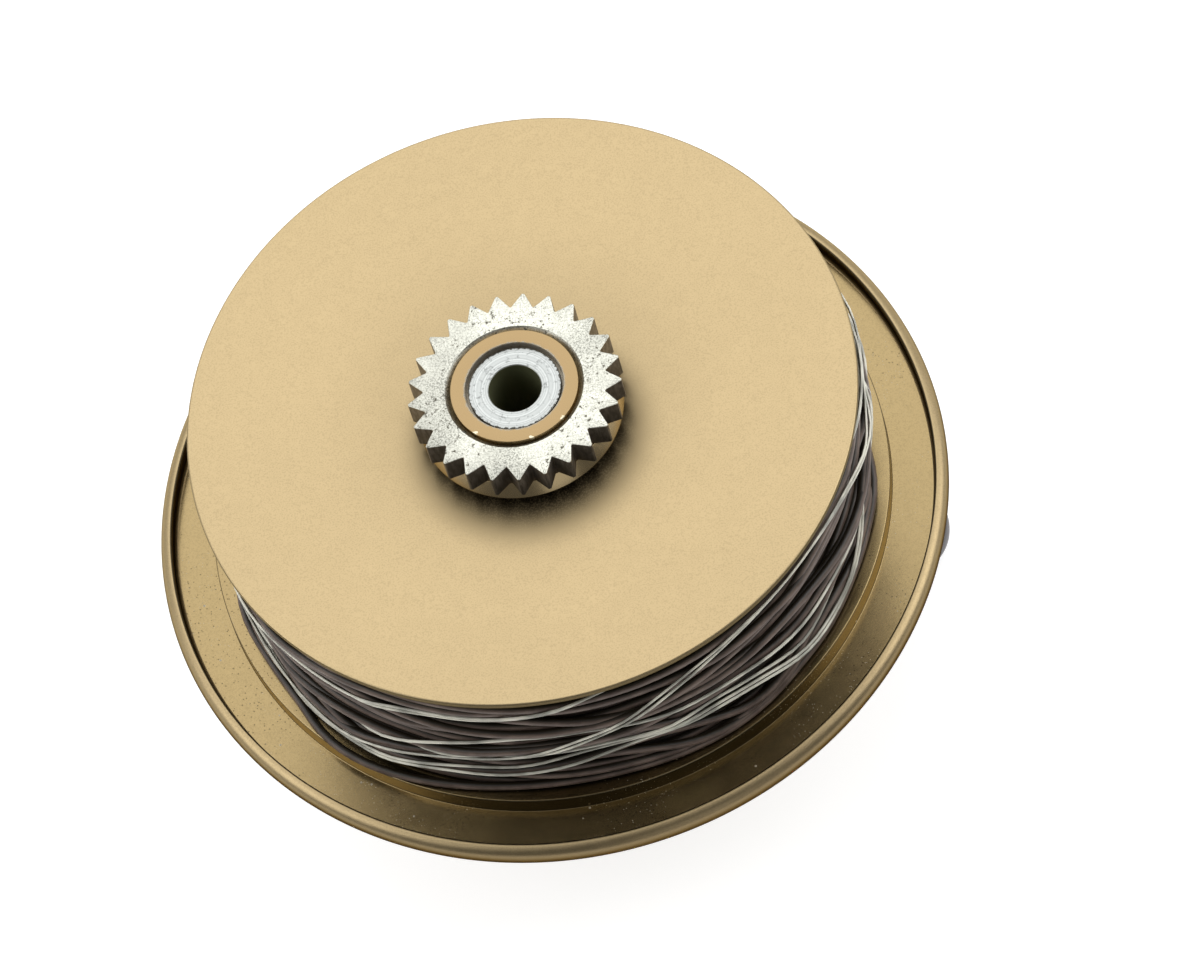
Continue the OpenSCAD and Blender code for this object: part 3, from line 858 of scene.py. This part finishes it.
class Winding:
    """Lays line on the drum. The pile's radius is kept on a grid of angle and level."""

    def __init__(self):
        self.levels = np.arange(CHANNEL_FOOT, CHANNEL_TOP + GRID, GRID)
        turn = np.arange(STEPS) * 360 / STEPS - 180 - NEAR_SIDE - NEAR_MIDDLE
        off = np.abs((turn + 180) % 360 - 180)
        radius = CORE_R + NEAR_BULGE * np.clip((NEAR_REACH - off) / NEAR_FADE, 0, 1)
        self.pile = np.repeat(radius[:, None], len(self.levels), 1)

    def _under(self, first, level, half):
        """Centre radius at which a line of that half-width rests on the pile, from step first on."""
        rest = np.zeros(len(level))
        for k, z in enumerate(level):
            away = np.abs(self.levels - z)
            near = away < half
            lift = np.sqrt(half ** 2 - away[near] ** 2)
            rest[k] = (self.pile[(first + k) % STEPS, near] + lift).max()
        return rest

    @staticmethod
    def _taut(rest):
        """The line bridges hollows as a pulled line does: no point lies under a chord near it."""
        step = 2 * math.pi / STEPS
        count = len(rest)
        padded = np.pad(rest, REACH, mode="edge")
        out = rest.copy()
        for m in range(1, REACH + 1):
            for n in range(1, REACH + 1):
                a = padded[REACH - m:REACH - m + count]
                b = padded[REACH + n:REACH + n + count]
                chord = a * b * math.sin((m + n) * step) / (a * math.sin(m * step) + b * math.sin(n * step))
                out = np.maximum(out, chord)
        return out

    def lay(self, first, level, diameter, sink, press, loose):
        """Lays a line through the given levels from step first on, and returns its centre radii.

        sink is how far it presses into the line under it; press, how much lower it is pulled
        where the pile is high. Where it stands off the pile in a loose loop, later line lies
        under the loop.
        """
        half = diameter / 2
        centre = np.zeros(len(level))
        for start in range(0, len(level), BLOCK):
            stop = min(start + BLOCK, len(level))
            before = max(0, start - REACH - 2)
            after = min(len(level), stop + REACH + 2)
            ahead = self._under(first + start, level[start:after], half) - sink
            ahead -= press * np.clip(ahead - CROWDED_R, 0, None)
            ahead += loose[start:after]
            taut = self._taut(np.concatenate([centre[before:start], ahead]))
            for _ in range(2):
                taut = np.convolve(np.pad(taut, 1, mode="edge"), (0.25, 0.5, 0.25), "valid")
            centre[start:stop] = taut[start - before:stop - before]
            for k in range(start, stop):
                if loose[k] > STANDS_OFF:
                    continue
                away = np.abs(self.levels - level[k])
                near = away < half
                top = centre[k] + np.sqrt(half ** 2 - away[near] ** 2)
                row = self.pile[(first + k) % STEPS]
                row[near] = np.maximum(row[near], top)
        return centre


def even_layer(turns):
    """Level of the fly line over one even layer, from the rear flange to the front one."""
    return np.linspace(CHANNEL_TOP, CHANNEL_FOOT, turns * STEPS)


def wander(turns):
    """Level of the fly line over its next turns: slow travel with slowly drifting waves."""
    t = np.arange(turns * STEPS) / STEPS
    travel = 2 / math.pi * np.arcsin(np.sin(2 * math.pi * t / 5.3 - 1.4)) * 8.2
    waves = (1.9 * np.sin(2 * math.pi * 1.045 * t + 2.1)
             + 1.2 * np.sin(2 * math.pi * 2.09 * t + 0.4)
             + 0.6 * np.sin(2 * math.pi * 3.13 * t + 4.0))
    return (CHANNEL_TOP + CHANNEL_FOOT) / 2 + travel + waves


def joined(*parts):
    """The levels of the parts one after the other, with an easy travel over each join."""
    level = np.concatenate(parts)
    at = 0
    for part in parts[:-1]:
        at += len(part)
        first, last = level[at - EASE], level[at + EASE]
        share = (1 - np.cos(np.linspace(0, math.pi, 2 * EASE + 1))) / 2
        level[at - EASE:at + EASE + 1] = first + (last - first) * share
    return level


def through(passes, far):
    """Level at each step, one turn to a pass, smoothly through the points of the passes.

    far is the level half way round the back after each pass.
    """
    points = [(360 * turn + angle + NEAR_SIDE, z)
              for turn, one in enumerate(passes) for angle, z in one + [(180, far[turn])]]
    at, level = zip(*points)
    steps = np.arange(len(passes) * STEPS) * 360 / STEPS - 180
    kernel = np.hanning(9)
    rough = np.interp(steps, at, level)
    return np.convolve(np.pad(rough, 4, mode="edge"), kernel / kernel.sum(), "valid")


def slack(count, places):
    """Extra radius along a line: (turn, angle, width in degrees, height) of each slack place."""
    out = np.zeros(count)
    at = np.arange(count) * 360 / STEPS - 180
    for turn, angle, width, height in places:
        out += height * np.exp(-((at - (360 * turn + angle + NEAR_SIDE)) / width) ** 2)
    return out


def strand(name, pile, level, diameter, sink, press, places, material, stands_for, tip=1.0):
    """Winds one line on the pile, from the far side on, and makes its mesh.

    places are its slack places, and sink and press are those of lay(). tip is the share of its
    thickness that a tapered line has at its end.
    """
    room = diameter / 2 + SIDE_ROOM
    level = np.clip(level, CHANNEL_FOOT + room, CHANNEL_TOP - room)
    centre = pile.lay(0, level, diameter, sink, press, slack(len(level), places))
    turn = np.arange(len(level)) * 2 * math.pi / STEPS + math.pi
    path = np.stack([centre * np.cos(turn), centre * np.sin(turn), level], -1)
    points, faces = tube(path, DRAWN_SHARE * diameter * np.linspace(1, tip, len(path)))
    finish_mesh(name, points, faces, "spool", material, stands_for, sharp=60)


def winding():
    """The dark core, the fly line over it and the leader over that, each turn laid on the last.

    The leader starts where the fly line ends.
    """
    outline = [(BACKING_R, CHANNEL_FOOT), (CORE_R, CHANNEL_FOOT), (CORE_R, CHANNEL_TOP - 0.12),
               (BACKING_R, CHANNEL_TOP - 0.5)]
    points, faces = lathe(outline, segments=144)
    finish_mesh("fly_line_core", points, faces, "spool", core_dark, ["fly_line"])

    pile = Winding()
    level = joined(even_layer(EVEN_TURNS), wander(WANDER_TURNS), through(FLY_LINE_PASSES, FLY_LINE_FAR))
    last = EVEN_TURNS + WANDER_TURNS + len(FLY_LINE_PASSES) - 1
    places = [(last, -50, 20, 1.7), (last - 2, 70, 14, 0.3), (last - 4, 66, 14, 0.4)]
    strand("fly_line_turns", pile, level, LINE_D, 0.24, 0.4, places,
           line_dark, ["fly_line"])

    from_fly_line = [(-180 - NEAR_SIDE, FLY_LINE_FAR[-1])]
    passes = [from_fly_line + UNDER_EDGE, UPPER, MIDDLE, LOWER, beside(LOWER, -0.5), HIGH,
              beside(HIGH, 0.45), UNDER_EDGE, beside(LONG, -0.55), LONG]
    places = [(0, 5, 70, -0.8), (7, 5, 70, -0.8), (8, 79, 13, 0.7), (9, 79, 13, 1.0)]
    strand("leader_turns", pile, through(passes, LEADER_FAR), LEADER_D, 0.07, 0.0, places,
           leader_clear, ["leader_line"], tip=0.7)


# ---------------------------------------------------------------- stage

def camera():
    """The photograph's view: a long lens from the near side, looking down on the ratchet side."""
    target = Vector((6.797, -5.048, -12.0)) * MM
    distance = 0.6825
    azimuth, elevation, roll = math.radians(NEAR_SIDE), math.radians(59.07), math.radians(17.30)
    back = Vector((math.cos(azimuth) * math.cos(elevation), math.sin(azimuth) * math.cos(elevation),
                   math.sin(elevation)))
    data = bpy.data.cameras.new("camera")
    data.lens = 180
    data.sensor_width = 36
    data.clip_start, data.clip_end = 0.05, 20
    cam = bpy.data.objects.new("camera", data)
    bpy.context.scene.collection.objects.link(cam)
    turn = (-back).to_track_quat("-Z", "Y").to_matrix() @ Matrix.Rotation(-roll, 3, "Z")
    cam.matrix_world = Matrix.Translation(target + back * distance) @ turn.to_4x4()
    bpy.context.scene.camera = cam


def floor():
    """A plain pale floor at the level of the knob's end."""
    mesh = bpy.data.meshes.new("floor")
    size = 3.0
    z = FLOOR_Z * MM
    corners = [(-size, -size, z), (size, -size, z), (size, size, z), (-size, size, z)]
    mesh.from_pydata(corners, [], [(0, 1, 2, 3)])
    s = Shader("floor_paper", (0.45, 0.45, 0.45), 0.0, 0.8)
    s.set("Emission Color", (1, 1, 1, 1))
    s.set("Emission Strength", 0.74)
    mesh.materials.append(s.material)
    obj = bpy.data.objects.new("floor", mesh)
    bpy.context.scene.collection.objects.link(obj)


def area_light(name, azimuth, elevation, distance, size, radiance):
    """A square softbox that faces the spool. radiance is what the spool sees in it."""
    a, e = math.radians(azimuth), math.radians(elevation)
    towards = Vector((math.cos(a) * math.cos(e), math.sin(a) * math.cos(e), math.sin(e)))
    data = bpy.data.lights.new(name, "AREA")
    data.shape = "SQUARE"
    data.size = size
    data.energy = radiance * math.pi * size * size
    lamp = bpy.data.objects.new(name, data)
    bpy.context.scene.collection.objects.link(lamp)
    lamp.matrix_world = (Matrix.Translation(towards * distance)
                         @ (-towards).to_track_quat("-Z", "Y").to_matrix().to_4x4())


def world():
    """A white studio behind the spool that falls off towards the camera."""
    w = bpy.data.worlds.new("studio")
    bpy.context.scene.world = w
    w.use_nodes = True
    tree = w.node_tree
    background = tree.nodes["Background"]
    background.inputs["Color"].default_value = (1, 1, 1, 1)
    place = tree.nodes.new("ShaderNodeTexCoord")
    facing = tree.nodes.new("ShaderNodeVectorMath")
    facing.operation = "DOT_PRODUCT"
    back = math.radians(NEAR_SIDE + 180)
    facing.inputs[1].default_value = (math.cos(back), math.sin(back), 0)
    level = tree.nodes.new("ShaderNodeMapRange")
    level.inputs["From Min"].default_value = -0.6
    level.inputs["From Max"].default_value = 0.5
    level.inputs["To Min"].default_value = 0.13
    level.inputs["To Max"].default_value = 1.0
    tree.links.new(place.outputs["Generated"], facing.inputs[0])
    tree.links.new(facing.outputs["Value"], level.inputs["Value"])
    tree.links.new(level.outputs["Result"], background.inputs["Strength"])
    bpy.context.scene.view_settings.view_transform = "Standard"


camera()
floor()
world()
area_light("key", 99, 58, 0.9, 1.0, 1.56)
area_light("left_fill", 189, 40, 1.0, 0.7, 2.6)
area_light("right_fill", 9, 40, 1.0, 0.7, 3.0)
area_light("front_card", -68, 22, 1.0, 0.5, 0.6)
rear_flange()
spool_hub()
bush("rear_bush_turned", "rear_bush", bush_pale, flare=0.3)
bush("front_bush_turned", "front_bush", bush_brown, flare=0.0)
front_flange()
palming_rim()
ratchet_gear()
winding()
handle_knob()
latch_spring()

CAD_MATERIALS = {
    "arbor_drum": bronze,
    "backing_line": backing_pale,
    "handle_post": steel,
    "handle_ferrule": trim_bronze,
    "handle_washers": nylon_white,
    "handle_screw": steel,
    "counterweight": trim_bronze,
    "counterweight_screw": steel,
    "latch_base": trim_bronze,
    "latch_slide": steel,
    "latch_cover": trim_bronze,
    "latch_screws": steel,
}
for node, material in CAD_MATERIALS.items():
    piece = frame["nodes"][node]
    piece.data.materials.clear()
    piece.data.materials.append(material)
    piece.data.shade_smooth()
    piece.data.set_sharp_from_angle(angle=math.radians(30))
for node, width in (("handle_ferrule", 0.12), ("counterweight", 0.1), ("latch_base", 0.12),
                    ("latch_cover", 0.15), ("latch_slide", 0.1), ("latch_screws", 0.06),
                    ("counterweight_screw", 0.08), ("handle_screw", 0.08)):
    soften_edges(node, width)
